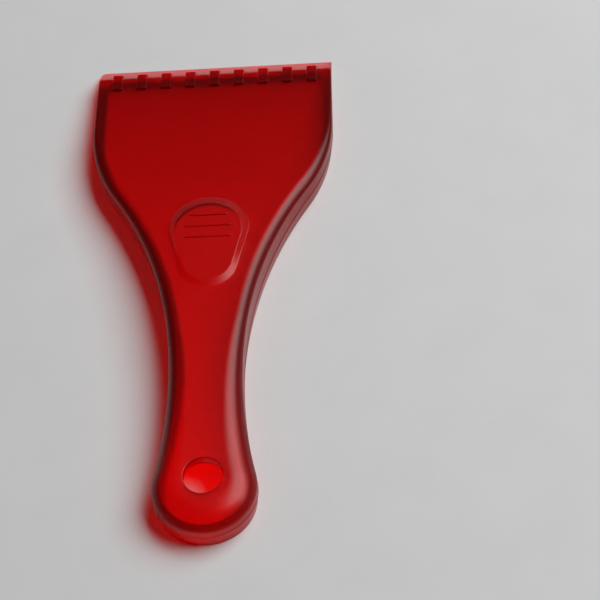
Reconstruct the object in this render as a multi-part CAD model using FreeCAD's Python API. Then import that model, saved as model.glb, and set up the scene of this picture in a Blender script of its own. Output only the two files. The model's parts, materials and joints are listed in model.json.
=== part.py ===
import FreeCAD, Part
import math
import os
from FreeCAD import Vector

# A hand-held windshield ice scraper: one hollow plastic moulding, open underneath.
# The blade faces +Y, the handle points to -Y and +Z is up. The scraper rests on its rim at Z = 0,
# with the origin at the middle of its length. "Behind" below is a distance back from the blade's tip.
# The moulding is cut into its named regions, which meet face to face. Sizes are millimetres.

# Plan outline, at the parting line
LENGTH = 241.9
HEAD_HALF_WIDTH = 50.0
SHOULDER_START = 45.0        # behind the tip, where the head's straight sides end
SHOULDER_RADIUS = 70.0
WAIST_BEHIND = 174.0
WAIST_HALF_WIDTH = 14.15
END_RADIUS = 19.7
NECK_BEHIND = 110.0          # where the head ends and the handle begins

# Side profile: the back is one shallow arch
BACK_RADIUS = 1063.0
CROWN_BEHIND = 159.0
CROWN_HEIGHT = 18.4
BEVEL_LENGTH = 10.3
TIP_BOTTOM = 0.5             # the underside rises this much to the tip
TIP_THICKNESS = 0.7
LAND_LENGTH = 9.5            # sloping land under the blade
LEFT_CORNER_RADIUS = 2.2     # the blade's two corners are rounded unequally in plan
RIGHT_CORNER_RADIUS = 0.6

# Shell
PLATE = 2.7
WALL = 3.3
BLADE_BAR = 10.9             # solid bar behind the tip, in front of the hollow
PARTING_HEIGHT = 6.3
SKIRT_DRAFT = 0.7            # the rim lies this far inside the parting line
HEAD_EDGE_RADIUS = 1.2
HANDLE_EDGE_RADIUS = 6.0
CAVITY_CORNER = 1.5

# Ice-breaking teeth on the bevel
TOOTH_COUNT = 9
TOOTH_PITCH = 10.39
TOOTH_WIDTH = 4.4
TOOTH_HEIGHT = 1.4
TOOTH_BACK = 18.6
TOOTH_TOP_FRONT = 9.2
TOOTH_NOSE = 6.4
TOOTH_ROOT = 1.5             # depth of the blank inside the blade, before the blade is cut from it

# Thumb rest: a hollow ramp, wide in front and narrow behind
REST_FRONT = 86.0
REST_BACK = 134.5
REST_FRONT_RADIUS = 16.3
REST_BACK_RADIUS = 12.0
REST_TOP_FRONT = 92.9
REST_TOP_BACK = 131.0
REST_TOP_FRONT_RADIUS = 13.6
REST_TOP_BACK_RADIUS = 10.0
REST_FRONT_RISE = 3.2
REST_BACK_RISE = 1.0
REST_SINK = 0.3              # the ramp starts this far below the back
REST_LEDGE = 0.4             # width of plate round the ramp's foot that belongs to the thumb rest

# Grip ribs across the thumb rest: distance behind the tip, and length
RIBS = [(98.6, 15.2), (104.2, 19.0), (109.7, 19.0)]
RIB_WIDTH = 1.2
RIB_HEIGHT = 0.5
RIB_END_RADIUS = 0.54
RIB_ROOT = 2.0               # depth of the blank inside the ramp

# Hanging hole and the low ring round it on the underside
HOLE_BEHIND = 221.0
HOLE_RADIUS = 7.4
RING_RADIUS = 9.2
RING_DROP = 0.8
EYE_START = 206.0            # where the handle's plate becomes the eye's plate

# Mark left by the moulding gate, at the end of the handle on the skirt
GATE_RADIUS = 1.6
GATE_HEIGHT = 4.2
GATE_LENGTH = 3.0            # reaches from the end of the handle into the skirt

TALL = 60.0                  # taller than anything in the model
MARGIN = 5.0                 # how far cutting shapes reach past the object
ON_SURFACE = 0.01            # a point this near to a surface lies on it
SLIVER = 0.01                # cubic millimetres: a smaller solid is only a cutting leftover
HALF = LENGTH / 2


def behind(distance):
    """Y of a point that lies a distance behind the blade's tip."""
    return HALF - distance


def back_height(y, drop=0.0):
    """Height of the arched back, or of an arc parallel to it and below it."""
    radius = BACK_RADIUS - drop
    centre = CROWN_HEIGHT - BACK_RADIUS
    return centre + math.sqrt(radius ** 2 - (y - behind(CROWN_BEHIND)) ** 2)


def arc_edge(centre, radius, start, end):
    """The shorter arc from start to end about a centre."""
    towards_middle = (start + end) * 0.5 - centre
    towards_middle.normalize()
    return Part.Arc(start, centre + towards_middle * radius, end).toShape()


def mirrored(shape):
    return shape.mirror(Vector(0, 0, 0), Vector(1, 0, 0))


def outline(inset=0.0, front=0.0, corner=0.0):
    """Closed plan wire of the scraper, moved inwards by an inset, with its front edge moved back."""
    head = HEAD_HALF_WIDTH - inset
    end_radius = END_RADIUS - inset
    start = Vector(head, behind(SHOULDER_START), 0)
    waist = Vector(WAIST_HALF_WIDTH - inset, behind(WAIST_BEHIND), 0)
    end = Vector(0, -HALF + inset, 0)

    shoulder_centre = Vector(HEAD_HALF_WIDTH - SHOULDER_RADIUS, start.y, 0)
    end_centre = Vector(0, -HALF + END_RADIUS, 0)
    offset = WAIST_HALF_WIDTH - shoulder_centre.x
    rise = start.y - waist.y
    neck_radius = (rise ** 2 + offset ** 2 - SHOULDER_RADIUS ** 2) / (2 * (SHOULDER_RADIUS - offset))
    drop = waist.y - end_centre.y
    grip_radius = (WAIST_HALF_WIDTH ** 2 + drop ** 2 - END_RADIUS ** 2) / (
        2 * (END_RADIUS - WAIST_HALF_WIDTH))
    neck_centre = Vector(WAIST_HALF_WIDTH + neck_radius, waist.y, 0)
    grip_centre = Vector(WAIST_HALF_WIDTH + grip_radius, waist.y, 0)

    towards_neck = (neck_centre - shoulder_centre).normalize()
    towards_grip = (grip_centre - end_centre).normalize()
    flare = shoulder_centre + towards_neck * (SHOULDER_RADIUS - inset)
    swell = end_centre + towards_grip * end_radius

    front_y = HALF - front
    side = [
        Part.makeLine(Vector(head, front_y - corner, 0), start),
        arc_edge(shoulder_centre, SHOULDER_RADIUS - inset, start, flare),
        arc_edge(neck_centre, neck_radius + inset, flare, waist),
        arc_edge(grip_centre, grip_radius + inset, waist, swell),
        arc_edge(end_centre, end_radius, swell, end),
    ]
    if corner:
        corner_centre = Vector(head - corner, front_y - corner, 0)
        side.append(arc_edge(corner_centre, corner, Vector(head, front_y - corner, 0),
                             Vector(head - corner, front_y, 0)))
    front_edge = Part.makeLine(Vector(head - corner, front_y, 0), Vector(corner - head, front_y, 0))
    edges = side + [mirrored(edge) for edge in side] + [front_edge]
    return Part.Wire(Part.__sortEdges__(edges))


def prism(wire, low=-TALL / 2, height=TALL):
    face = Part.Face(wire)
    face.translate(Vector(0, 0, low))
    return face.extrude(Vector(0, 0, height))


def slab(low_behind, high_behind):
    """A block across the whole width, between two distances behind the tip."""
    span = low_behind - high_behind
    return Part.makeBox(TALL * 3, span, TALL, Vector(-TALL * 1.5, behind(low_behind), -TALL / 2))


def right_half():
    """A block over the whole +X side."""
    return Part.makeBox(TALL * 2, TALL * 6, TALL, Vector(0, -TALL * 3, -TALL / 2))


def side_profile_block():
    """The side profile across the whole width: land, blunt tip, bevel and arched back."""
    x = -HEAD_HALF_WIDTH - MARGIN
    bevel_top = behind(BEVEL_LENGTH)
    far = -HALF - MARGIN
    crown = Vector(x, behind(CROWN_BEHIND), CROWN_HEIGHT)
    corners = [
        Vector(x, far, back_height(far)),
        Vector(x, far, 0),
        Vector(x, behind(LAND_LENGTH), 0),
        Vector(x, HALF, TIP_BOTTOM),
        Vector(x, HALF, TIP_BOTTOM + TIP_THICKNESS),
        Vector(x, bevel_top, back_height(bevel_top)),
    ]
    edges = [Part.makeLine(a, b) for a, b in zip(corners, corners[1:])]
    edges.append(Part.Arc(corners[-1], crown, corners[0]).toShape())
    return Part.Face(Part.Wire(edges)).extrude(Vector(-2 * x, 0, 0))


def under_back(drop):
    """Everything below an arc parallel to the back."""
    x = -HEAD_HALF_WIDTH - MARGIN
    near, far = HALF + MARGIN, -HALF - MARGIN
    corners = [
        Vector(x, far, back_height(far, drop)),
        Vector(x, far, -TALL / 2),
        Vector(x, near, -TALL / 2),
        Vector(x, near, back_height(near, drop)),
    ]
    crown = Vector(x, behind(CROWN_BEHIND), CROWN_HEIGHT - drop)
    edges = [Part.makeLine(a, b) for a, b in zip(corners, corners[1:])]
    edges.append(Part.Arc(corners[-1], crown, corners[0]).toShape())
    return Part.Face(Part.Wire(edges)).extrude(Vector(-2 * x, 0, 0))


def back_edges(solid):
    """Edges that run along the sides of the arched back."""
    found = []
    for edge in solid.Edges:
        middle = edge.valueAt((edge.FirstParameter + edge.LastParameter) / 2)
        on_back = abs(middle.z - back_height(middle.y)) < ON_SURFACE
        if on_back and edge.BoundBox.YLength > 1 and abs(middle.x) > 1:
            found.append(edge)
    return found


def outer_body():
    """The solid outside shape, with its drafted skirt and its rounded shoulders."""
    upper = prism(outline(), PARTING_HEIGHT)
    rim_wire = outline(SKIRT_DRAFT)
    parting_wire = outline()
    parting_wire.translate(Vector(0, 0, PARTING_HEIGHT))
    skirt = Part.makeLoft([rim_wire, parting_wire], True, True)
    body = upper.fuse(skirt).common(side_profile_block())
    half_head = body.common(slab(NECK_BEHIND, -MARGIN)).common(right_half())
    half_head = half_head.makeFillet(HANDLE_EDGE_RADIUS, HEAD_EDGE_RADIUS, back_edges(half_head))
    head = half_head.fuse(mirrored(half_head)).removeSplitter()
    head = head.cut(corner_cutter(-1, LEFT_CORNER_RADIUS)).cut(corner_cutter(1, RIGHT_CORNER_RADIUS))
    handle = body.cut(slab(NECK_BEHIND, -MARGIN))
    handle = handle.makeFillet(HANDLE_EDGE_RADIUS, back_edges(handle))
    return head, handle


def corner_cutter(side, radius):
    """What comes off one corner of the blade (side -1 or 1) to round it in plan."""
    size = 2 * radius
    x = side * (HEAD_HALF_WIDTH - radius)
    low_x = x if side > 0 else x - size
    box = Part.makeBox(size, size, TALL, Vector(low_x, HALF - radius, -TALL / 2))
    return box.cut(Part.makeCylinder(radius, TALL, Vector(x, HALF - radius, -TALL / 2)))


def egg_wire(front, back, front_radius, back_radius, front_z, back_z):
    """Egg-shaped wire, wide in front, on a plane that slopes from front to back."""
    front_centre = behind(front + front_radius)
    back_centre = behind(back - back_radius)
    reach = front_centre - back_centre
    lean = math.asin((front_radius - back_radius) / reach)
    normal = Vector(math.cos(lean), -math.sin(lean), 0)
    middle_front = Vector(0, front_centre, 0)
    middle_back = Vector(0, back_centre, 0)
    side_front = middle_front + normal * front_radius
    side_back = middle_back + normal * back_radius
    nose = Vector(0, behind(front), 0)
    heel = Vector(0, behind(back), 0)
    edges = [
        Part.Arc(Vector(-side_front.x, side_front.y, 0), nose, side_front).toShape(),
        Part.makeLine(side_front, side_back),
        Part.Arc(side_back, heel, Vector(-side_back.x, side_back.y, 0)).toShape(),
        Part.makeLine(Vector(-side_back.x, side_back.y, 0), Vector(-side_front.x, side_front.y, 0)),
    ]
    wire = Part.Wire(edges)
    slope = math.degrees(math.atan2(front_z - back_z, back - front))
    wire.rotate(heel, Vector(1, 0, 0), slope)
    wire.translate(Vector(0, 0, back_z))
    return wire


def rest_heights():
    """Heights of the thumb rest's top face at its front and its back."""
    front = back_height(behind(REST_TOP_FRONT)) + REST_FRONT_RISE
    back = back_height(behind(REST_TOP_BACK)) + REST_BACK_RISE
    return front, back


def rest_outline():
    """Plan outline of the plate that belongs to the thumb rest."""
    return egg_wire(REST_FRONT - REST_LEDGE, REST_BACK + REST_LEDGE,
                    REST_FRONT_RADIUS + REST_LEDGE, REST_BACK_RADIUS + REST_LEDGE, 0, 0)


def rest_ramp():
    """The ramp's outside shape, from inside the plate to its top face."""
    base = egg_wire(REST_FRONT, REST_BACK, REST_FRONT_RADIUS, REST_BACK_RADIUS,
                    back_height(behind(REST_FRONT)) - REST_SINK,
                    back_height(behind(REST_BACK)) - REST_SINK)
    top = egg_wire(REST_TOP_FRONT, REST_TOP_BACK, REST_TOP_FRONT_RADIUS, REST_TOP_BACK_RADIUS,
                   *rest_heights())
    return Part.makeLoft([base, top], True, True)


def thumb_ribs(ramp):
    """Three low cross ribs with round ends, on the ramp's top face."""
    front_height, rear_height = rest_heights()
    fall = (rear_height - front_height) / (REST_TOP_BACK - REST_TOP_FRONT)
    solids = []
    for distance, length in RIBS:
        height = front_height + fall * (distance - REST_TOP_FRONT) + RIB_HEIGHT
        corner = Vector(-length / 2, -RIB_WIDTH / 2, -RIB_ROOT)
        bar = Part.makeBox(length, RIB_WIDTH, RIB_ROOT, corner)
        uprights = [edge for edge in bar.Edges if edge.BoundBox.ZLength > RIB_ROOT / 2]
        bar = bar.makeFillet(RIB_END_RADIUS, uprights)
        bar.rotate(Vector(0, 0, 0), Vector(1, 0, 0), -math.degrees(math.atan(fall)))
        bar.translate(Vector(0, behind(distance), height))
        solids.append(bar.cut(ramp))
    return Part.makeCompound(solids)


def ice_teeth(body):
    """Nine raised teeth over the bevel, as separate solids that sit on the blade's top."""
    back, front = behind(TOOTH_BACK), behind(TOOTH_TOP_FRONT)
    nose = behind(TOOTH_NOSE)
    bevel_slope = (back_height(behind(BEVEL_LENGTH)) - TIP_BOTTOM - TIP_THICKNESS) / BEVEL_LENGTH
    nose_height = TIP_BOTTOM + TIP_THICKNESS + bevel_slope * TOOTH_NOSE
    corners = [
        Vector(0, back, back_height(back) - TOOTH_ROOT),
        Vector(0, back, back_height(back) + TOOTH_HEIGHT),
        Vector(0, front, back_height(front) + TOOTH_HEIGHT),
        Vector(0, nose, nose_height),
        Vector(0, nose, nose_height - TOOTH_ROOT),
    ]
    blank = Part.Face(Part.makePolygon(corners + corners[:1])).extrude(Vector(TOOTH_WIDTH, 0, 0))
    solids = []
    for number in range(TOOTH_COUNT):
        tooth = blank.copy()
        centre = (number - (TOOTH_COUNT - 1) / 2) * TOOTH_PITCH
        tooth.translate(Vector(centre - TOOTH_WIDTH / 2, 0, 0))
        solids.append(tooth.cut(body))
    return Part.makeCompound(solids)


def eye_ring():
    """The low ring round the hanging hole, below the plate."""
    y = behind(HOLE_BEHIND)
    bottom = back_height(y, PLATE) - RING_DROP
    ring = Part.makeCylinder(RING_RADIUS, TALL / 4, Vector(0, y, bottom))
    ring = ring.cut(Part.makeCylinder(HOLE_RADIUS, TALL, Vector(0, y, -TALL / 4)))
    return ring.common(under_back(PLATE))


def gate_mark(handle):
    """The round gate mark on the skirt at the end of the handle, level with the parting line."""
    disc = Part.makeCylinder(GATE_RADIUS, GATE_LENGTH, Vector(0, -HALF, GATE_HEIGHT), Vector(0, 1, 0))
    return disc.cut(handle)


def build():
    head, handle = outer_body()
    inside = prism(outline(WALL, BLADE_BAR, CAVITY_CORNER))
    cavity = inside.common(under_back(PLATE))
    hole = Part.makeCylinder(HOLE_RADIUS, TALL, Vector(0, behind(HOLE_BEHIND), -TALL / 2))
    ramp = rest_ramp()
    ramp_hollow = ramp.copy()
    ramp_hollow.translate(Vector(0, 0, -PLATE))
    rest_prism = prism(rest_outline())
    right = right_half()

    head_plate = head.common(inside).cut(cavity).cut(slab(BLADE_BAR, -MARGIN))
    handle_plate = handle.common(inside).cut(cavity)
    whole_plate = head_plate.fuse(handle_plate)
    thumb_rest = whole_plate.common(rest_prism).fuse(ramp.cut(under_back(0))).cut(ramp_hollow)
    head_walls = head.cut(inside).cut(slab(BLADE_BAR, -MARGIN))
    handle_walls = handle.cut(inside)
    round_end = slab(LENGTH + MARGIN, LENGTH - END_RADIUS)
    eye_area = slab(LENGTH + MARGIN, EYE_START)
    side_walls = handle_walls.cut(round_end)

    return {
        "blade": head.common(slab(BLADE_BAR, -MARGIN)),
        "ice_teeth": ice_teeth(head),
        "head_plate": head_plate.cut(rest_prism),
        "head_wall_left": head_walls.cut(right),
        "head_wall_right": head_walls.common(right),
        "thumb_rest": thumb_rest.removeSplitter(),
        "thumb_ribs": thumb_ribs(ramp),
        "handle_plate": handle_plate.cut(rest_prism).cut(eye_area),
        "handle_wall_left": side_walls.cut(right),
        "handle_wall_right": side_walls.common(right),
        "eye_plate": handle_plate.common(eye_area).cut(hole),
        "eye_ring": eye_ring(),
        "end_wall": handle_walls.common(round_end),
        "gate_mark": gate_mark(handle),
    }


os.makedirs("parts", exist_ok=True)
for node, shape in build().items():
    solids = [solid for solid in shape.Solids if solid.Volume > SLIVER]
    print(node, "valid" if shape.isValid() else "INVALID", len(solids), "solids",
          round(sum(solid.Volume for solid in solids)), "mm3", shape.BoundBox)
    result = solids[0] if len(solids) == 1 else Part.makeCompound(solids)
    result.exportStep(os.path.join("parts", node + ".step"))
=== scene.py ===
import json
import math

import bmesh
import bpy
import numpy as np
from mathutils import Matrix, Vector
from mathutils.geometry import area_tri, delaunay_2d_cdt


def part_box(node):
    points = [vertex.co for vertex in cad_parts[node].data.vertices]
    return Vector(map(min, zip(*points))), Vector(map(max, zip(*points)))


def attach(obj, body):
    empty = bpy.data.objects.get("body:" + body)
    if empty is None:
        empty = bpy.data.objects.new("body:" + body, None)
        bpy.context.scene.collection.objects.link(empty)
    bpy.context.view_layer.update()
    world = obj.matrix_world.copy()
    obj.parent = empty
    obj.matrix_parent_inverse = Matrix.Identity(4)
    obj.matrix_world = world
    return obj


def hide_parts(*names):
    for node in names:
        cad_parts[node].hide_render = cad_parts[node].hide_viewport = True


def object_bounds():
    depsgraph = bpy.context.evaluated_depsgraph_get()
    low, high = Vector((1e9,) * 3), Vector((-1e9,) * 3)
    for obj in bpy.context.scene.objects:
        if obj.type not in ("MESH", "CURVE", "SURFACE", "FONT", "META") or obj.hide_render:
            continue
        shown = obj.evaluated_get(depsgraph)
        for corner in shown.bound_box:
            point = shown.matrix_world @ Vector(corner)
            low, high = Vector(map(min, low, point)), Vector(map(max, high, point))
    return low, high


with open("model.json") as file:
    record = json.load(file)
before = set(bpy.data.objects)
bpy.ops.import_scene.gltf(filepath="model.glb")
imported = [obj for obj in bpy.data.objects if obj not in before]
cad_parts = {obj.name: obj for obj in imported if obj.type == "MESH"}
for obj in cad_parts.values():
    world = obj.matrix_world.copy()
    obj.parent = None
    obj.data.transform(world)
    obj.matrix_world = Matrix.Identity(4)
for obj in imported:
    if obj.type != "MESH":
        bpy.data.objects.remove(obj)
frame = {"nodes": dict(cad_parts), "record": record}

# A windshield ice scraper of translucent red plastic: one hollow moulding, open underneath, lying
# on its rim. The blade faces +Y and the handle points to -Y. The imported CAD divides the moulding
# into named regions. Light passes through it, so here it is one closed, seamless surface.
# Lengths of the moulding are in millimetres, and its mesh is scaled to metres at the end.

CAD_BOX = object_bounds()
MM = 0.001


def box_in_mm(node):
    """Lowest and highest corner of a CAD node, in millimetres."""
    low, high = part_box(node)
    return low / MM, high / MM


# Places taken from the frame
HALF = CAD_BOX[1][1] / MM
HEAD_HALF_WIDTH = CAD_BOX[1][0] / MM
TEETH_LOW, TEETH_HIGH = box_in_mm("ice_teeth")
RIBS_LOW, RIBS_HIGH = box_in_mm("thumb_ribs")
REST_LOW, REST_HIGH = box_in_mm("thumb_rest")
RING_LOW, RING_HIGH = box_in_mm("eye_ring")
GATE_LOW, GATE_HIGH = box_in_mm("gate_mark")

# Plan outline, at the parting line. "Behind" is a distance back from the blade's tip.
SHOULDER_START = 45.0
SHOULDER_RADIUS = 70.0
WAIST_BEHIND = 174.0
WAIST_HALF_WIDTH = 14.15
END_RADIUS = 19.7
LEFT_CORNER_RADIUS = 2.2
RIGHT_CORNER_RADIUS = 0.6

# Side profile
BACK_RADIUS = 1063.0
CROWN_BEHIND = 159.0
CROWN_HEIGHT = 18.4
BEVEL_LENGTH = 10.3
TIP_BOTTOM = 0.5
TIP_THICKNESS = 0.7
LAND_LENGTH = 9.5
BEVEL_CREASE = 0.3  # how softly the bevel turns into the back

# Shell
PLATE = 2.7
WALL = 3.3
BLADE_BAR = 10.9
PARTING_HEIGHT = 6.3
SKIRT_DRAFT = 0.7
RIM_RADIUS = 0.5
CAVITY_CORNER = 2.4
CAVITY_DRAFT = 0.25
CAVITY_FILLET = (1.2, 4.5)  # radius at the head, and the most under the handle
MOUTH_RADIUS = 0.4

# Parting ridge: how far it stands out, and its section as (height in half widths, share of that)
PARTING_RIDGE = 0.12
RIDGE_HALF_WIDTH = 0.25
RIDGE_PROFILE = ((0.5, 0.75), (1.0, 1.0), (1.5, 0.75), (2.0, 0.0))
RIDGE_FADE = 2.0  # the ridge grows to its full size over this much height of wall

# Shares of the wall's height that its parts may take where it is thin, at the blade
THIN_RIM = 0.3
THIN_PARTING = 0.55
THIN_EDGE = 0.35

# Rounded edge from the back down to the wall: its radius at distances behind the tip
EDGE_STATIONS = (0, 42, 52, 62, 78, 124, 149, 185, 215)
EDGE_RADII = (1.0, 1.2, 3.0, 4.4, 5.4, 5.6, 5.2, 8.6, 11.6)
EDGE_BLEND = 6.0  # the radius is averaged this far to both sides
EDGE_SAMPLES = 9
EDGE_TURN = math.radians(60)  # how far it turns before it meets the wall
EDGE_CLEAR = 0.9  # least height of wall between it and the parting line

# Gate mark: a low round boss with a dimple. Reaches and slopes are shares of its radius.
GATE_RELIEF = 0.22
GATE_REACH = 1.15
DIMPLE_DEPTH = 0.25
DIMPLE_REACH = 0.55
GATE_SLOPE = 0.3

# Teeth. The section is (share of the height, inset, depth below the tooth's top).
TOOTH_COUNT = 9
TOOTH_WIDTH = 4.4
TOOTH_HEIGHT = 1.4
TOOTH_TOP_FRONT = 9.2
TOOTH_DRAFT = 0.12
TOOTH_BACK_DRAFT = 0.1
TOOTH_CORNER = 0.42
TOOTH_SIDE_STEPS = (3, 12)
TOOTH_SECTION = ((0, 0, 0), (0.06, 0.04, 0), (0.5, 0.0, 0), (0.86, 0.0, 0), (1.0, 0.0, 0.16),
                 (1.0, 0.06, 0.05), (1.0, 0.2, 0.0), (1.0, 0.34, 0.0))

# Thumb rest: an egg-shaped ramp. Its side is (share of the way across, share of the height).
REST_LEDGE = 0.4
REST_FRONT_RADIUS = 16.3
REST_BACK_RADIUS = 12.0
REST_TOP_FRONT = 92.9
REST_TOP_BACK = 131.0
REST_TOP_FRONT_RADIUS = 13.6
REST_TOP_BACK_RADIUS = 10.0
REST_FRONT_RISE = 3.2
REST_BACK_RISE = 1.0
REST_SIDE = ((0, 0), (0.05, 0.012), (0.12, 0.06), (0.22, 0.16), (0.5, 0.47), (0.78, 0.79),
             (0.88, 0.9), (0.95, 0.972), (1.0, 1.0))
EGG_FRONT_STEPS = 40
EGG_BACK_STEPS = 30
EGG_SIDE_STEPS = 10

# Ribs. The section is (inset, share of the height).
RIB_COUNT = 3
FRONT_RIB_LENGTH = 15.2
RIB_WIDTH = 1.2
RIB_CORNER = RIB_WIDTH * 0.48
RIB_HEIGHT = 0.5
RIB_SIDE_STEPS = (12, 1)
RIB_SECTION = ((0, 0), (0.07, 0.45), (0.16, 0.75), (0.29, 0.93), (0.44, 1.0))

# Hanging hole
HOLE_EDGE = 0.3
RING_EDGE = 0.3
HOLE_POINTS = 72

# Mesh
STEP = 1.2  # spacing of points along the outline
CORNER_STEPS = 4  # in each rounded corner of a tooth or a rib
PLATE_STEP = 4.0  # spacing of points inside the plates
REST_STEP = 2.5
LAND_STEP = 1.1
CREASE_STEP = 0.5
CREASE_REACH = 1.5
SKIRT_ROWS = 12
EDGE_ROWS = 12
UPRIGHT_ROWS = (0.2, 0.4, 0.6, 0.8, 0.96)
HOLE_ROWS = (0.75, 0.5, 0.25)
CAVITY_ROWS = (0.25, 0.5, 0.75, 0.97)
HOLDING = 0.3  # width of the flat strip that keeps a rounded edge's shading local
SHARP_ANGLE = math.radians(50)
INSIDE_OUTER_LOOP = 1  # the triangulation's output: triangles within the outermost loop
WELD = 1e-6


# ---------------------------------------------------------------- heights

def behind(distance):
    """Y of a point that lies a distance behind the blade's tip."""
    return HALF - distance


def back_height(y, drop=0.0):
    """Height of the arched back, or of an arc parallel to it and below it."""
    centre = CROWN_HEIGHT - BACK_RADIUS
    return centre + math.sqrt((BACK_RADIUS - drop) ** 2 - (y - behind(CROWN_BEHIND)) ** 2)


BEVEL_SLOPE = (back_height(behind(BEVEL_LENGTH)) - TIP_BOTTOM - TIP_THICKNESS) / BEVEL_LENGTH


def top_height(y):
    """Height of the outside: the bevel in front, then the back, with a softened crease."""
    bevel = TIP_BOTTOM + TIP_THICKNESS + BEVEL_SLOPE * (HALF - y)
    back = back_height(y)
    overlap = max(BEVEL_CREASE - abs(bevel - back), 0.0) / BEVEL_CREASE
    return min(bevel, back) - overlap ** 2 * BEVEL_CREASE / 4


def rim_height(y):
    """Height of the rim and of the land that rises under the blade."""
    return TIP_BOTTOM * max(0.0, 1 - (HALF - y) / LAND_LENGTH)


def ceiling_height(y):
    """Height of the hollow's ceiling."""
    return back_height(y, PLATE)


def raised(height, rise):
    """The height function, raised by a fixed amount."""
    return lambda y: height(y) + rise


def part_way(level, height, share):
    """A height function a share of the way from a level up to another height function."""
    return lambda y: level + (height(y) - level) * share


def clamp(value):
    """The value, held between 0 and 1."""
    return max(0.0, min(1.0, value))


# ---------------------------------------------------------------- plan outlines

def spoke_at(angle):
    """Unit vector at an angle from +X."""
    return Vector((math.cos(angle), math.sin(angle)))


def arc(centre, radius, start, end, step=STEP, outward=1):
    """Points and outward normals along an arc between two angles, without its last point."""
    count = max(3, math.ceil(abs(end - start) * radius / step))
    spokes = [spoke_at(start + (end - start) * i / count) for i in range(count)]
    return [(centre + spoke * radius, spoke * outward) for spoke in spokes]


def straight(start, end, normal, step=STEP):
    """Points and normals along a straight line, without its last point."""
    count = max(1, math.ceil((end - start).length / step))
    return [(start.lerp(end, i / count), normal) for i in range(count)]


def between(first, last, count):
    """Points on the straight line between two outline points, without its ends."""
    shares = [i / count for i in range(1, count)]
    return [(first[0].lerp(last[0], s), first[1].lerp(last[1], s).normalized()) for s in shares]


def right_side(inset, front_y, corner):
    """The outline's right side, from its front corner to the end of the handle."""
    shoulder = Vector((HEAD_HALF_WIDTH - SHOULDER_RADIUS, behind(SHOULDER_START)))
    end = Vector((0, -HALF + END_RADIUS))
    waist_y = behind(WAIST_BEHIND)

    # The neck's arc and the grip's arc meet at the waist. One is tangent to the shoulder's arc,
    # the other to the end's.
    offset = WAIST_HALF_WIDTH - shoulder.x
    rise = shoulder.y - waist_y
    drop = waist_y - end.y
    neck_radius = (rise ** 2 + offset ** 2 - SHOULDER_RADIUS ** 2) / (
        2 * (SHOULDER_RADIUS - offset))
    grip_radius = (WAIST_HALF_WIDTH ** 2 + drop ** 2 - END_RADIUS ** 2) / (
        2 * (END_RADIUS - WAIST_HALF_WIDTH))
    neck = Vector((WAIST_HALF_WIDTH + neck_radius, waist_y))
    grip = Vector((WAIST_HALF_WIDTH + grip_radius, waist_y))
    flare_angle = math.atan2(neck.y - shoulder.y, neck.x - shoulder.x)
    swell_angle = math.atan2(grip.y - end.y, grip.x - end.x)

    side_x = HEAD_HALF_WIDTH - inset
    corner_end = Vector((side_x, front_y - corner))
    points = arc(Vector((side_x - corner, front_y - corner)), corner, math.pi / 2, 0, corner / 4)
    points += straight(corner_end, Vector((side_x, shoulder.y)), Vector((1, 0)))
    points += arc(shoulder, SHOULDER_RADIUS - inset, 0, flare_angle)
    points += arc(neck, neck_radius + inset, flare_angle + math.pi, math.pi, outward=-1)
    points += arc(grip, grip_radius + inset, math.pi, swell_angle + math.pi, outward=-1)
    points += arc(end, END_RADIUS - inset, swell_angle, -math.pi / 2, STEP / 2)
    points.append((end - Vector((0, END_RADIUS - inset)), Vector((0, -1))))
    return points


def outline(inset, front_y, left_corner, right_corner):
    """Closed outline as (point, outward normal): down the right, up the left, along the front."""
    right = right_side(inset, front_y, right_corner)
    left = [(Vector((-point.x, point.y)), Vector((-normal.x, normal.y)))
            for point, normal in right_side(inset, front_y, left_corner)]
    front = straight(left[0][0], right[0][0], Vector((0, 1)))
    return right + left[-2::-1] + front[1:]


def circle(centre, radius):
    """A circle as (point, normal), with as many points whatever its radius."""
    spokes = [spoke_at(math.tau * i / HOLE_POINTS) for i in range(HOLE_POINTS)]
    return [(centre + spoke * radius, spoke) for spoke in spokes]


def egg(front, back, front_radius, back_radius):
    """Egg-shaped loop, wide in front. Every egg has as many points, so two can be joined."""
    front_centre = Vector((0, behind(front + front_radius)))
    back_centre = Vector((0, behind(back - back_radius)))
    lean = math.asin((front_radius - back_radius) / (front_centre.y - back_centre.y))
    front_spokes = [spoke_at(math.pi + lean - (math.pi + 2 * lean) * i / EGG_FRONT_STEPS)
                    for i in range(EGG_FRONT_STEPS + 1)]
    back_spokes = [spoke_at(-lean - (math.pi - 2 * lean) * i / EGG_BACK_STEPS)
                   for i in range(EGG_BACK_STEPS + 1)]
    head = [(front_centre + spoke * front_radius, spoke) for spoke in front_spokes]
    tail = [(back_centre + spoke * back_radius, spoke) for spoke in back_spokes]
    right_line = between(head[-1], tail[0], EGG_SIDE_STEPS)
    left_line = between(tail[-1], head[0], EGG_SIDE_STEPS)
    return head + right_line + tail + left_line


def bar_loop(centre, half_length, half_width, corner, side_steps):
    """A rounded rectangle, long in X, as (point, normal)."""
    middles = [centre + Vector((x * (half_length - corner), y * (half_width - corner)))
               for x, y in ((1, 1), (-1, 1), (-1, -1), (1, -1))]
    points = []
    for turn, middle in enumerate(middles):
        start = turn * math.pi / 2
        spokes = [spoke_at(start + math.pi / (2 * CORNER_STEPS) * i)
                  for i in range(CORNER_STEPS + 1)]
        points += [(middle + spoke * corner, spoke) for spoke in spokes]
        last = spokes[-1]
        following = middles[(turn + 1) % 4]
        points += between((middle + last * corner, last), (following + last * corner, last),
                          side_steps[turn % 2])
    return points


def quarter_turn(count):
    """(1 - cosine, 1 - sine) at equal steps through a right angle, for a rounded edge."""
    turns = [math.pi / (2 * count) * k for k in range(count + 1)]
    return [(1 - math.cos(turn), 1 - math.sin(turn)) for turn in turns]


def steps(low, high, spacing):
    """Equal steps from one value to another, ends included."""
    count = max(1, round((high - low) / spacing))
    return [low + (high - low) * i / count for i in range(count + 1)]


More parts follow.
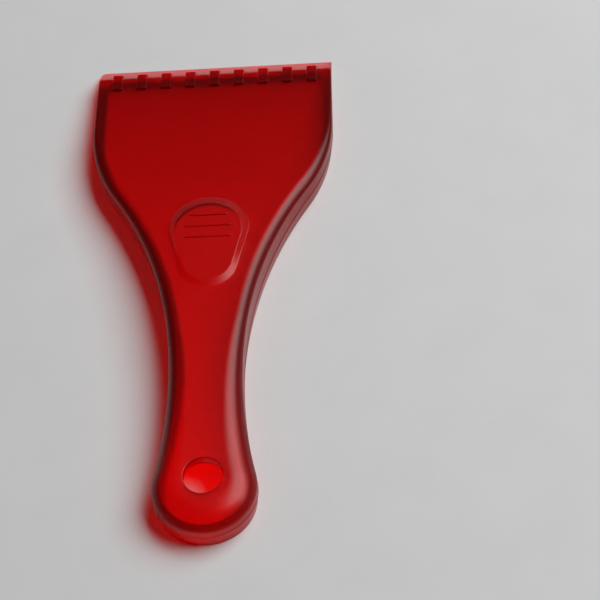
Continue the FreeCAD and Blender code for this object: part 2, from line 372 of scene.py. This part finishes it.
# ---------------------------------------------------------------- mesh building

def add_ring(mesh, loop, inset, height):
    """Vertices on the loop moved inwards, at a height that is a number or a function of Y."""
    ring = []
    for point, normal in loop:
        place = point - normal * inset
        z = height(place.y) if callable(height) else height
        ring.append(mesh.verts.new((place.x, place.y, z)))
    return ring


def join(mesh, rings):
    """Quads between each ring and the next."""
    for near, far in zip(rings, rings[1:]):
        count = len(near)
        for i in range(count):
            j = (i + 1) % count
            mesh.faces.new((near[i], near[j], far[j], far[i]))


def inside(points, loops):
    """Which of the points lie inside an odd number of the closed loops."""
    hits = np.zeros(len(points), int)
    x, y = points[:, 0:1], points[:, 1:2]
    for loop in loops:
        a = np.array([v.co.xy for v in loop])
        b = np.roll(a, -1, axis=0)
        crosses = (a[:, 1] > y) != (b[:, 1] > y)
        rise = np.where(b[:, 1] == a[:, 1], 1.0, b[:, 1] - a[:, 1])
        at = a[:, 0] + (y - a[:, 1]) * (b[:, 0] - a[:, 0]) / rise
        hits += (crosses & (x < at)).sum(axis=1)
    return hits % 2 == 1


def fill(mesh, loops, height, rows=(), column=PLATE_STEP):
    """Fills the area between closed rings with triangles, with rows of points at given Ys."""
    border = [v for loop in loops for v in loop]
    edges = []
    for loop in loops:
        first = len(edges)
        edges += [(first + i, first + (i + 1) % len(loop)) for i in range(len(loop))]
    across = np.arange(-HEAD_HALF_WIDTH, HEAD_HALF_WIDTH, column)
    grid = np.array([(x + column / 2 * (k % 2), y) for k, y in enumerate(rows) for x in across])
    grid = grid.reshape(-1, 2)
    grid = grid[inside(grid, loops)]
    rim = np.array([v.co.xy for v in border])
    grid = [point for point in grid if np.hypot(*(rim - point).T).min() > HOLDING]
    places = [v.co.xy for v in border] + [Vector(point) for point in grid]
    flat, _, faces, sources, _, _ = delaunay_2d_cdt(places, edges, [], INSIDE_OUTER_LOOP, WELD)

    # The rings keep their own vertices
    made = {}
    found = {}
    for index, source in enumerate(sources):
        if source and source[0] < len(border):
            made[index] = border[source[0]]
            found[source[0]] = index

    # A region bounded by rings is kept where the middle of its largest triangle lies between them
    fences = {frozenset((found[a], found[b])) for a, b in edges}
    for region in regions(faces, fences):
        corners = max(([flat[i] for i in face] for face in region), key=lambda c: area_tri(*c))
        if not inside(np.array([sum(corners, Vector((0, 0))) / 3]), loops)[0]:
            continue
        for face in region:
            for i in face:
                if i not in made:
                    made[i] = mesh.verts.new((flat[i].x, flat[i].y, height(flat[i].y)))
            mesh.faces.new([made[i] for i in face])


def regions(faces, fences):
    """Groups of faces that are joined across edges other than the fences."""
    faces = [tuple(face) for face in faces]
    beside = {}
    for face in faces:
        for pair in zip(face, face[1:] + face[:1]):
            beside.setdefault(frozenset(pair), []).append(face)
    waiting = set(faces)
    groups = []
    for start in faces:
        if start not in waiting:
            continue
        waiting.remove(start)
        group = [start]
        for face in group:
            for pair in zip(face, face[1:] + face[:1]):
                for other in beside[frozenset(pair)]:
                    if frozenset(pair) not in fences and other in waiting:
                        waiting.remove(other)
                        group.append(other)
        groups.append(group)
    return groups


# ---------------------------------------------------------------- outside wall

def edge_radius(y):
    """Radius of the rounded edge: large on the handle, small at the blade."""
    places = HALF - y + np.linspace(-EDGE_BLEND, EDGE_BLEND, EDGE_SAMPLES)
    return float(np.interp(places, EDGE_STATIONS, EDGE_RADII).mean())


def edge_arc(radius):
    """The arc from the wall to the back, as (distance from the wall, distance below the back)."""
    turns = [EDGE_TURN * (1 - k / EDGE_ROWS) for k in range(EDGE_ROWS + 1)]
    return [(radius * (math.sin(EDGE_TURN) - math.sin(turn)), radius * (1 - math.cos(turn)))
            for turn in turns]


def wall_section(point, normal):
    """The outside wall at one outline point: (inset, height) from the rim up to the back."""
    low, high = rim_height(point.y), top_height(point.y)
    tall = high - low
    fade = min(1.0, tall / PARTING_HEIGHT)
    drop_share = 1 - math.cos(EDGE_TURN)
    room = max(THIN_EDGE * tall, tall - PARTING_HEIGHT - EDGE_CLEAR)
    radius = min(edge_radius(point.y), room / drop_share)
    rim = min(RIM_RADIUS, THIN_RIM * tall)
    parting = min(PARTING_HEIGHT, low + THIN_PARTING * tall)
    draft = SKIRT_DRAFT * (1 - max(0.0, normal.y))
    ridge = PARTING_RIDGE * clamp((tall - PARTING_HEIGHT) / RIDGE_FADE)

    def drafted(z):
        return draft * clamp(1 - z / PARTING_HEIGHT) * fade

    section = [(drafted(low) + rim + HOLDING * fade, low)]
    for rise, back in quarter_turn(4):
        z = low + rim * rise
        section.append((drafted(z) + rim * back, z))
    bottom = low + rim
    below_ridge = parting - RIDGE_HALF_WIDTH * fade
    for k in range(1, SKIRT_ROWS + 1):
        z = bottom + (below_ridge - bottom) * k / SKIRT_ROWS
        section.append((drafted(z), z))
    for half_widths, out in RIDGE_PROFILE:
        z = below_ridge + RIDGE_HALF_WIDTH * fade * half_widths
        section.append((drafted(z) - ridge * out, z))
    above_ridge = below_ridge + 2 * RIDGE_HALF_WIDTH * fade
    spring = high - radius * drop_share
    for share in UPRIGHT_ROWS:
        section.append((0.0, above_ridge + (spring - above_ridge) * share))
    for inset, below in edge_arc(radius):
        section.append((inset, high - below))
    section.append((radius * math.sin(EDGE_TURN) + HOLDING * fade, high))
    return section


def outer_wall(mesh):
    """The whole outside wall. Gives its lowest and its highest ring."""
    loop = outline(0, HALF, LEFT_CORNER_RADIUS, RIGHT_CORNER_RADIUS)
    sections = [wall_section(point, normal) for point, normal in loop]
    rings = []
    for level in range(len(sections[0])):
        ring = []
        for (point, normal), section in zip(loop, sections):
            inset, z = section[level]
            place = point - normal * inset

            # The section holds at the outline. Further in, its heights follow the rim and the back.
            low, high = rim_height(point.y), top_height(point.y)
            share = (z - low) / (high - low)
            low_shift = rim_height(place.y) - low
            high_shift = top_height(place.y) - high
            z += low_shift * (1 - share) + high_shift * share

            place = place + normal * gate_relief(place, z)
            ring.append(mesh.verts.new((place.x, place.y, z)))
        rings.append(ring)
    join(mesh, rings)
    return rings[0], rings[-1]


def gate_relief(place, z):
    """How far the round gate mark, with its dimple, stands out of the handle's end at a point."""
    if place.y > 0:
        return 0.0
    centre = (GATE_LOW + GATE_HIGH) / 2
    radius = (GATE_HIGH.z - GATE_LOW.z) / 2
    reach = math.hypot(place.x - centre.x, z - centre.z) / radius
    boss = GATE_RELIEF * clamp((GATE_REACH - reach) / GATE_SLOPE)
    dimple = DIMPLE_DEPTH * clamp((DIMPLE_REACH - reach) / GATE_SLOPE)
    return boss - dimple


# ---------------------------------------------------------------- teeth

def tooth_top(y):
    """Height of the teeth's tops, a straight line that runs on over the bevel."""
    back, front = TEETH_LOW.y, behind(TOOTH_TOP_FRONT)
    share = (y - back) / (front - back)
    return (back_height(back) * (1 - share) + back_height(front) * share) + TOOTH_HEIGHT


def tooth_loop(centre_x, back, front, half_width):
    """Rounded rectangle between a tooth's back and its front."""
    return bar_loop(Vector((centre_x, (back + front) / 2)), half_width, (front - back) / 2,
                    TOOTH_CORNER, TOOTH_SIDE_STEPS)


def tooth(mesh, centre_x):
    """One tooth, from its foot on the bevel to its flat top. Gives the ring at its foot."""
    foot = tooth_loop(centre_x, TEETH_LOW.y, TEETH_HIGH.y, TOOTH_WIDTH / 2)
    top = tooth_loop(centre_x, TEETH_LOW.y + TOOTH_BACK_DRAFT, behind(TOOTH_TOP_FRONT),
                     TOOTH_WIDTH / 2 - TOOTH_DRAFT)
    rings = []
    for share, inset, sink in TOOTH_SECTION:
        ring = []
        for (low, _), (high, normal) in zip(foot, top):
            place = low.lerp(high, share) - normal * inset
            z = top_height(low.y) * (1 - share) + tooth_top(high.y) * share - sink
            ring.append(mesh.verts.new((place.x, place.y, z)))
        rings.append(ring)
    join(mesh, rings)
    fill(mesh, [rings[-1]], tooth_top)
    return rings[0]


def teeth(mesh):
    """All the teeth. Gives the rings at their feet."""
    first = TEETH_LOW.x + TOOTH_WIDTH / 2
    last = TEETH_HIGH.x - TOOTH_WIDTH / 2
    return [tooth(mesh, x) for x in np.linspace(first, last, TOOTH_COUNT)]


# ---------------------------------------------------------------- thumb rest

RAMP_BACK = back_height(behind(REST_TOP_BACK)) + REST_BACK_RISE
RAMP_FRONT = back_height(behind(REST_TOP_FRONT)) + REST_FRONT_RISE
RAMP_SLOPE = (RAMP_FRONT - RAMP_BACK) / (REST_TOP_BACK - REST_TOP_FRONT)


def ramp_height(y):
    """Height of the thumb rest's sloping top face."""
    return RAMP_BACK + RAMP_SLOPE * (y - behind(REST_TOP_BACK))


def ramp_rings(mesh, drop):
    """The ramp's side, from the plate up to its top face; drop gives the same shape underneath."""
    rest_front = HALF - REST_HIGH.y + REST_LEDGE
    rest_back = HALF - REST_LOW.y - REST_LEDGE
    foot = egg(rest_front, rest_back, REST_FRONT_RADIUS, REST_BACK_RADIUS)
    top = egg(REST_TOP_FRONT, REST_TOP_BACK, REST_TOP_FRONT_RADIUS, REST_TOP_BACK_RADIUS)
    rings = []
    for across, up in REST_SIDE:
        ring = []
        for (low, _), (high, _) in zip(foot, top):
            place = low.lerp(high, across)
            z = back_height(low.y, drop) * (1 - up) + (ramp_height(high.y) - drop) * up
            ring.append(mesh.verts.new((place.x, place.y, z)))
        rings.append(ring)
    rings.append(add_ring(mesh, top, HOLDING, raised(ramp_height, -drop)))
    join(mesh, rings)
    return rings[0], rings[-1]


def rib(mesh, y, length):
    """One rounded cross rib. Gives the ring at its foot."""
    loop = bar_loop(Vector((0, y)), length / 2, RIB_WIDTH / 2, RIB_CORNER, RIB_SIDE_STEPS)
    rings = [add_ring(mesh, loop, inset, raised(ramp_height, RIB_HEIGHT * share))
             for inset, share in RIB_SECTION]
    join(mesh, rings)
    fill(mesh, [rings[-1]], raised(ramp_height, RIB_HEIGHT))
    return rings[0]


def thumb_rest(mesh):
    """The ramp with its ribs. Gives the ring at its foot."""
    foot, top = ramp_rings(mesh, 0)
    first = RIBS_LOW.y + RIB_WIDTH / 2
    last = RIBS_HIGH.y - RIB_WIDTH / 2
    lengths = [RIBS_HIGH.x - RIBS_LOW.x] * (RIB_COUNT - 1) + [FRONT_RIB_LENGTH]
    ribs = [rib(mesh, y, length)
            for y, length in zip(np.linspace(first, last, RIB_COUNT), lengths)]
    rows = steps(REST_LOW.y, REST_HIGH.y, REST_STEP)
    fill(mesh, [top] + ribs, ramp_height, rows, REST_STEP)
    return foot


# ---------------------------------------------------------------- hanging hole

def hanging_hole(mesh):
    """The hole with its ring. Gives the rings where it meets the back and the ceiling."""
    mounts = {mount["name"]: mount for mount in frame["record"]["mounts"]}
    centre = Vector((0, (RING_LOW.y + RING_HIGH.y) / 2))
    bore = circle(centre, mounts["hanging_hole"]["dims"]["r_mm"])
    outer = circle(centre, (RING_HIGH.x - RING_LOW.x) / 2)
    bottom = RING_LOW.z
    rings = [add_ring(mesh, bore, -HOLE_EDGE - HOLDING, back_height)]
    for down, out in quarter_turn(4):
        rings.append(add_ring(mesh, bore, -HOLE_EDGE * out, raised(back_height, -HOLE_EDGE * down)))
    for share in HOLE_ROWS:
        rings.append(add_ring(mesh, bore, 0, part_way(bottom, back_height, share)))
    for out, up in quarter_turn(3):
        rings.append(add_ring(mesh, bore, -RING_EDGE * out, bottom + RING_EDGE * up))
    for up, inset in quarter_turn(3):
        rings.append(add_ring(mesh, outer, RING_EDGE * inset, bottom + RING_EDGE * up))
    rings.append(add_ring(mesh, outer, 0, ceiling_height))
    join(mesh, rings)
    return rings[0], rings[-1]


# ---------------------------------------------------------------- underside

def cavity_fillet(y):
    """Radius of the hollow's fillet, which follows the rounded edge for an even thickness."""
    least, most = CAVITY_FILLET
    return max(least, min(edge_radius(y) - PLATE, most))


def fillet_foot(y):
    """Height at which the hollow's fillet begins."""
    return ceiling_height(y) - cavity_fillet(y) * (1 - math.cos(EDGE_TURN))


def fillet_ring(mesh, loop, across, down, extra=0.0):
    """A ring on the hollow's fillet, at shares of its radius in from the wall and down."""
    ring = []
    for point, normal in loop:
        radius = cavity_fillet(point.y)
        place = point - normal * (CAVITY_DRAFT + radius * across + extra)
        z = ceiling_height(place.y) - radius * down
        ring.append(mesh.verts.new((place.x, place.y, z)))
    return ring


def cavity_wall(mesh):
    """The hollow's wall. Gives the rings at its mouth and at the ceiling."""
    loop = outline(WALL, behind(BLADE_BAR), CAVITY_CORNER, CAVITY_CORNER)
    rings = [add_ring(mesh, loop, -MOUTH_RADIUS - HOLDING, rim_height)]
    for up, out in quarter_turn(3):
        height = raised(rim_height, MOUTH_RADIUS * up)
        rings.append(add_ring(mesh, loop, -MOUTH_RADIUS * out, height))
    for share in CAVITY_ROWS:
        height = part_way(MOUTH_RADIUS, fillet_foot, share)
        rings.append(add_ring(mesh, loop, CAVITY_DRAFT * share, height))
    for across, down in edge_arc(1.0):
        rings.append(fillet_ring(mesh, loop, across, down))
    rings.append(fillet_ring(mesh, loop, math.sin(EDGE_TURN), 0, HOLDING))
    join(mesh, rings)
    return rings[0], rings[-1]


# ---------------------------------------------------------------- the moulding

def scraper_moulding():
    """The whole moulding as one closed mesh, in metres."""
    mesh = bmesh.new()
    rim, back_edge = outer_wall(mesh)
    mouth, ceiling_edge = cavity_wall(mesh)
    hole_top, hole_bottom = hanging_hole(mesh)
    rest_foot = thumb_rest(mesh)
    hollow_foot, hollow_top = ramp_rings(mesh, PLATE)

    crease = behind(BEVEL_LENGTH)
    plate_rows = steps(-HALF, crease - PLATE_STEP, PLATE_STEP)
    crease_rows = steps(crease - CREASE_REACH, crease + CREASE_REACH, CREASE_STEP)
    land_rows = steps(behind(LAND_LENGTH + 1), HALF, LAND_STEP)
    hollow_rows = steps(REST_LOW.y, REST_HIGH.y, PLATE_STEP)
    top_loops = [back_edge, hole_top, rest_foot] + teeth(mesh)
    fill(mesh, top_loops, top_height, plate_rows + crease_rows)
    fill(mesh, [rim, mouth], rim_height, land_rows)
    fill(mesh, [ceiling_edge, hole_bottom, hollow_foot], ceiling_height, plate_rows)
    fill(mesh, [hollow_top], raised(ramp_height, -PLATE), hollow_rows)

    bmesh.ops.recalc_face_normals(mesh, faces=mesh.faces)
    bmesh.ops.scale(mesh, vec=(MM, MM, MM), verts=mesh.verts)
    data = bpy.data.meshes.new("scraper_moulding")
    mesh.to_mesh(data)
    mesh.free()
    for face in data.polygons:
        face.use_smooth = True
    data.set_sharp_from_angle(angle=SHARP_ANGLE)
    moulding = bpy.data.objects.new("scraper_moulding", data)
    bpy.context.scene.collection.objects.link(moulding)
    return moulding


# ---------------------------------------------------------------- shader nodes

def noise(tree, vector, scale, detail, roughness):
    """The factor of a noise texture."""
    node = tree.nodes.new("ShaderNodeTexNoise")
    node.inputs["Scale"].default_value = scale
    node.inputs["Detail"].default_value = detail
    node.inputs["Roughness"].default_value = roughness
    tree.links.new(vector, node.inputs["Vector"])
    return node.outputs["Fac"]


def map_range(tree, value, source, target):
    """A value carried over from one range to another, and held within it."""
    node = tree.nodes.new("ShaderNodeMapRange")
    node.inputs["From Min"].default_value, node.inputs["From Max"].default_value = source
    node.inputs["To Min"].default_value, node.inputs["To Max"].default_value = target
    tree.links.new(value, node.inputs["Value"])
    return node.outputs["Result"]


def component(tree, vector, axis):
    """One component of a vector."""
    node = tree.nodes.new("ShaderNodeSeparateXYZ")
    tree.links.new(vector, node.inputs["Vector"])
    return node.outputs[axis]


def bump(tree, height, strength, distance, normal=None):
    """A normal tilted by a height, over another one where it is given."""
    node = tree.nodes.new("ShaderNodeBump")
    node.inputs["Strength"].default_value = strength
    node.inputs["Distance"].default_value = distance
    tree.links.new(height, node.inputs["Height"])
    if normal:
        tree.links.new(normal, node.inputs["Normal"])
    return node.outputs["Normal"]


def colour_ramp(tree, value, stops):
    """Colour blended between (position, colour) stops, of which the ends are at 0 and 1."""
    node = tree.nodes.new("ShaderNodeValToRGB")
    elements = node.color_ramp.elements
    elements[0].color, elements[1].color = stops[0][1], stops[-1][1]
    for position, colour in stops[1:-1]:
        elements.new(position).color = colour
    tree.links.new(value, node.inputs["Fac"])
    return node.outputs["Color"]


# ---------------------------------------------------------------- materials

PLASTIC_TRANSMISSION = 0.92
PLASTIC_IOR = 1.36
PLASTIC_SATIN = (0.282, 0.318)  # roughness of its smoothest and its dullest patches
PLASTIC_CLEAR = (0.95, 0.012, 0.018, 1)
# darker red painted on the head and teeth as shade, not a denser dye
PLASTIC_SHADE_PAINTED = (0.53, 0.005, 0.008, 1)
PLASTIC_DEPTH = (0.97, 0.0, 0.02, 1)  # colour that deep plastic lets through
PLASTIC_DENSITY = 2500.0
PAINTED_SHADE_PEAK = 0.985  # where the painted shade of the head is darkest, as a share of the length, clouds included
CLOUD_SHARE = 0.08
SCUFF_RANGE = (0.3, 0.75)
STEEP = (0.4, 0.8)  # upright part of the normal where the skin counts as steep, and as level
STEEP_PASS = 0.5  # share of lamp light that a steep skin lets through

# Noises as (scale, detail, roughness), and bumps as (strength, distance)
CLOUDS = (60.0, 3.0, 0.6)
SCUFFS = (420.0, 4.0, 0.65)
GRAIN = (1500.0, 2.0, 0.5)
GRAIN_BUMP = (0.12, 0.0001)
FLOW = (45.0, 1.0, 0.4)
FLOW_BUMP = (0.25, 0.0003)
FLOW_STRETCH = (1.0, 0.35, 1.0)
MOTTLE = (35.0, 4.0, 0.6)


def red_plastic():
    """Translucent red plastic: satin skin with faint flow and scuffs, coloured by its depth, and
    with shade painted into its colour towards the head.
    """
    material = bpy.data.materials.new("red_plastic_visual")
    material.use_nodes = True
    tree = material.node_tree
    link = tree.links.new
    skin = tree.nodes["Principled BSDF"]
    output = tree.nodes["Material Output"]
    skin.inputs["Transmission Weight"].default_value = PLASTIC_TRANSMISSION
    skin.inputs["IOR"].default_value = PLASTIC_IOR

    coordinates = tree.nodes.new("ShaderNodeTexCoord")
    place = coordinates.outputs["Object"]
    mapping = tree.nodes.new("ShaderNodeMapping")
    mapping.inputs["Scale"].default_value = FLOW_STRETCH
    link(place, mapping.inputs["Vector"])
    along_flow = mapping.outputs["Vector"]

    # Painted shade: the base colour darkens from the handle's end towards the head and its teeth,
    # where less light reaches, and goes back to the plain colour on the blade. The faint clouds are
    # random tone of the plastic.
    shade = tree.nodes.new("ShaderNodeMath")
    shade.operation = "MULTIPLY_ADD"
    length = (CAD_BOX[0][1], CAD_BOX[1][1])
    link(noise(tree, along_flow, *CLOUDS), shade.inputs[0])
    shade.inputs[1].default_value = CLOUD_SHARE
    link(map_range(tree, component(tree, place, "Y"), length, (0.0, 1.0)), shade.inputs[2])
    stops = ((0.0, PLASTIC_CLEAR), (PAINTED_SHADE_PEAK, PLASTIC_SHADE_PAINTED), (1.0, PLASTIC_CLEAR))
    link(colour_ramp(tree, shade.outputs["Value"], stops), skin.inputs["Base Color"])

    scuffs = noise(tree, place, *SCUFFS)
    link(map_range(tree, scuffs, SCUFF_RANGE, PLASTIC_SATIN), skin.inputs["Roughness"])

    grain = bump(tree, noise(tree, place, *GRAIN), *GRAIN_BUMP)
    waves = bump(tree, noise(tree, along_flow, *FLOW), *FLOW_BUMP, normal=grain)
    link(waves, skin.inputs["Normal"])

    depth = tree.nodes.new("ShaderNodeVolumeAbsorption")
    depth.inputs["Color"].default_value = PLASTIC_DEPTH
    depth.inputs["Density"].default_value = PLASTIC_DENSITY
    link(depth.outputs["Volume"], output.inputs["Volume"])

    # Lamp light goes straight through, coloured by the depth, and dimmed where the skin is steep
    upright = tree.nodes.new("ShaderNodeMath")
    upright.operation = "ABSOLUTE"
    link(component(tree, coordinates.outputs["Normal"], "Z"), upright.inputs[0])
    clear = tree.nodes.new("ShaderNodeBsdfTransparent")
    passed = map_range(tree, upright.outputs["Value"], STEEP, (STEEP_PASS, 1.0))
    link(passed, clear.inputs["Color"])
    path = tree.nodes.new("ShaderNodeLightPath")
    chosen = tree.nodes.new("ShaderNodeMixShader")
    link(path.outputs["Is Shadow Ray"], chosen.inputs["Fac"])
    link(skin.outputs["BSDF"], chosen.inputs[1])
    link(clear.outputs["BSDF"], chosen.inputs[2])
    link(chosen.outputs["Shader"], output.inputs["Surface"])
    return material


TABLE_ROUGHNESS = 0.75
TABLE_SPECULAR = 0.2
TABLE_DARK = (0.70, 0.70, 0.70, 1)
TABLE_PALE = (0.76, 0.76, 0.76, 1)


def table_surface():
    """Pale matt paper with a very faint mottle."""
    material = bpy.data.materials.new("pale_table")
    material.use_nodes = True
    tree = material.node_tree
    shader = tree.nodes["Principled BSDF"]
    shader.inputs["Roughness"].default_value = TABLE_ROUGHNESS
    shader.inputs["Specular IOR Level"].default_value = TABLE_SPECULAR
    place = tree.nodes.new("ShaderNodeTexCoord").outputs["Object"]
    mottle = noise(tree, place, *MOTTLE)
    tone = colour_ramp(tree, mottle, ((0.0, TABLE_DARK), (1.0, TABLE_PALE)))
    tree.links.new(tone, shader.inputs["Base Color"])
    return material


# ---------------------------------------------------------------- stage, light, camera, in metres

FLOOR_REACH = 4.0
KEY_DIRECTION = (0.575, 0.235, 0.784)
KEY_DISTANCE = 2.4
KEY_SIZE = (2.3, 1.8)
KEY_POWER = 65.5
WORLD_STRENGTH = 0.015

CAMERA_AIM = Vector((0.0353, -0.0081, 0))
CAMERA_DISTANCE = 0.8625
CAMERA_AZIMUTH = math.radians(4.66)  # how far the camera stands from -Y towards +X
CAMERA_ELEVATION = math.radians(51.9)
CAMERA_ROLL = math.radians(-6.4)
CAMERA_LENS = 130.2
CAMERA_SENSOR = 36.0
CAMERA_NEAR = 0.01


def floor():
    """The table that the scraper lies on."""
    data = bpy.data.meshes.new("floor")
    signs = ((-1, -1), (1, -1), (1, 1), (-1, 1))
    corners = [(x * FLOOR_REACH, y * FLOOR_REACH, 0) for x, y in signs]
    data.from_pydata(corners, [], [(0, 1, 2, 3)])
    plane = bpy.data.objects.new("floor", data)
    plane.data.materials.append(table_surface())
    bpy.context.scene.collection.objects.link(plane)


def studio_light():
    """One large soft box that faces the object, and a faint even fill."""
    data = bpy.data.lights.new("key", "AREA")
    data.shape = "RECTANGLE"
    data.size, data.size_y = KEY_SIZE
    data.energy = KEY_POWER
    lamp = bpy.data.objects.new("key", data)
    towards = Vector(KEY_DIRECTION).normalized()
    lamp.location = towards * KEY_DISTANCE
    lamp.rotation_euler = towards.to_track_quat("Z", "Y").to_euler()
    bpy.context.scene.collection.objects.link(lamp)

    world = bpy.data.worlds.new("studio")
    world.use_nodes = True
    background = world.node_tree.nodes["Background"]
    background.inputs["Color"].default_value = (1, 1, 1, 1)
    background.inputs["Strength"].default_value = WORLD_STRENGTH
    bpy.context.scene.world = world


def camera():
    """The camera at the photograph's viewing angle."""
    data = bpy.data.cameras.new("camera")
    data.lens = CAMERA_LENS
    data.sensor_width = CAMERA_SENSOR
    data.clip_start = CAMERA_NEAR
    level = math.cos(CAMERA_ELEVATION)
    back = Vector((math.sin(CAMERA_AZIMUTH) * level, -math.cos(CAMERA_AZIMUTH) * level,
                   math.sin(CAMERA_ELEVATION)))
    viewer = bpy.data.objects.new("camera", data)
    turn = back.to_track_quat("Z", "Y").to_matrix() @ Matrix.Rotation(CAMERA_ROLL, 3, "Z")
    place = Matrix.Translation(CAMERA_AIM + back * CAMERA_DISTANCE)
    viewer.matrix_world = place @ turn.to_4x4()
    bpy.context.scene.collection.objects.link(viewer)
    bpy.context.scene.camera = viewer


moulding = scraper_moulding()
moulding.data.materials.append(red_plastic())
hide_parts(*sorted(frame["nodes"]))
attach(moulding, "root")
floor()
studio_light()
camera()
bpy.context.scene.view_settings.view_transform = "Standard"
